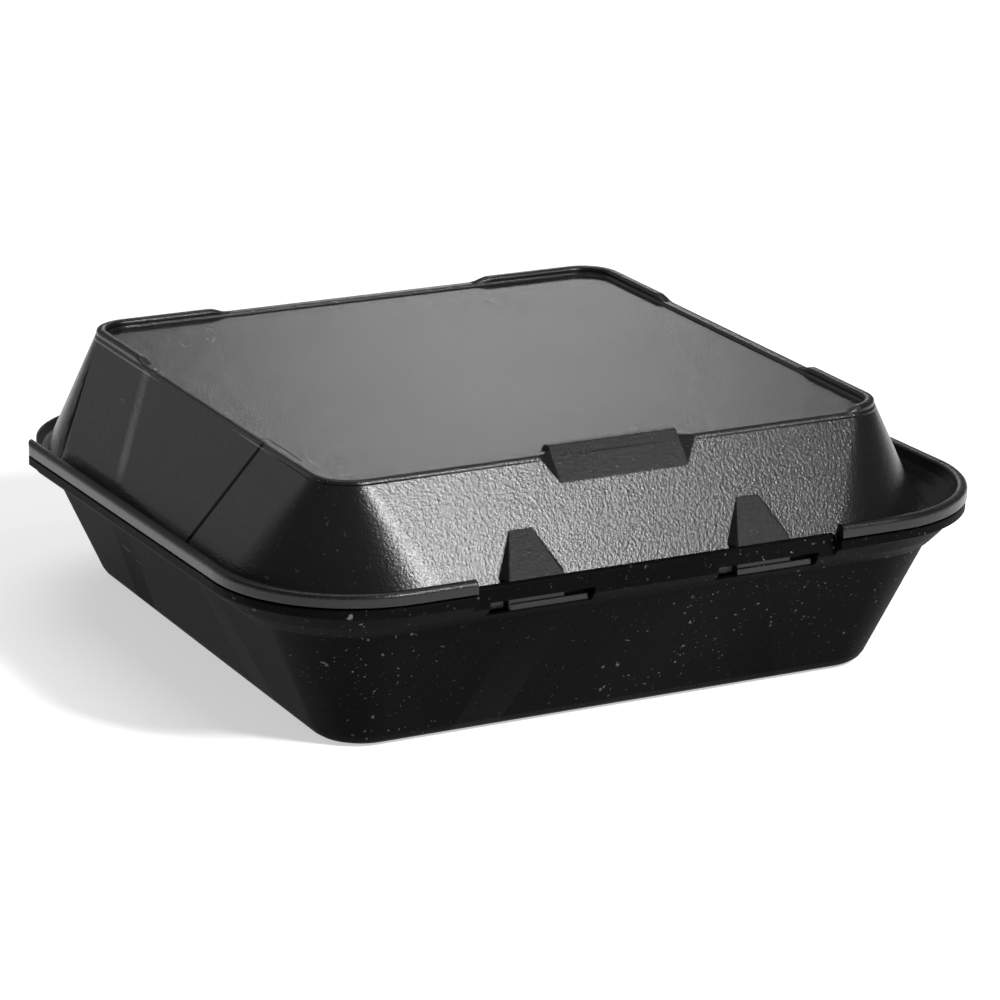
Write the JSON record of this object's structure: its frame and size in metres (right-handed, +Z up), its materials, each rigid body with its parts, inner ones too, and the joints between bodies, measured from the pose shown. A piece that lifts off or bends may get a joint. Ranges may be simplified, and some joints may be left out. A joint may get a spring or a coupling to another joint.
{
  "type": "foam clamshell container",
  "caption": "Square food container of moulded foam: a drafted tray and a domed lid joined by a fold at the back, shut by tabs that sit in slots in the front collar.",
  "frame": {"origin": "middle of the foot on the surface that the container rests on", "axes": "+Z up, the two locking slots at the front in -Y, the fold at the back in +Y, +X to the right seen from the front"},
  "size_m": [0.235, 0.2275, 0.0788],
  "materials": {
    "foam": "black foamed plastic sheet with a satin skin and a fine speckled grain"
  },
  "bodies": {
    "tray": {"tray": "foam"},
    "lid": {"lid": "foam"}
  },
  "joints": [
    {"name": "lid_fold", "type": "hinge", "parent": "tray", "child": "lid", "pos_m": [0, 0.1103, 0.043], "axis": [-1, 0, 0], "range_deg": [0, 180]}
  ]
}
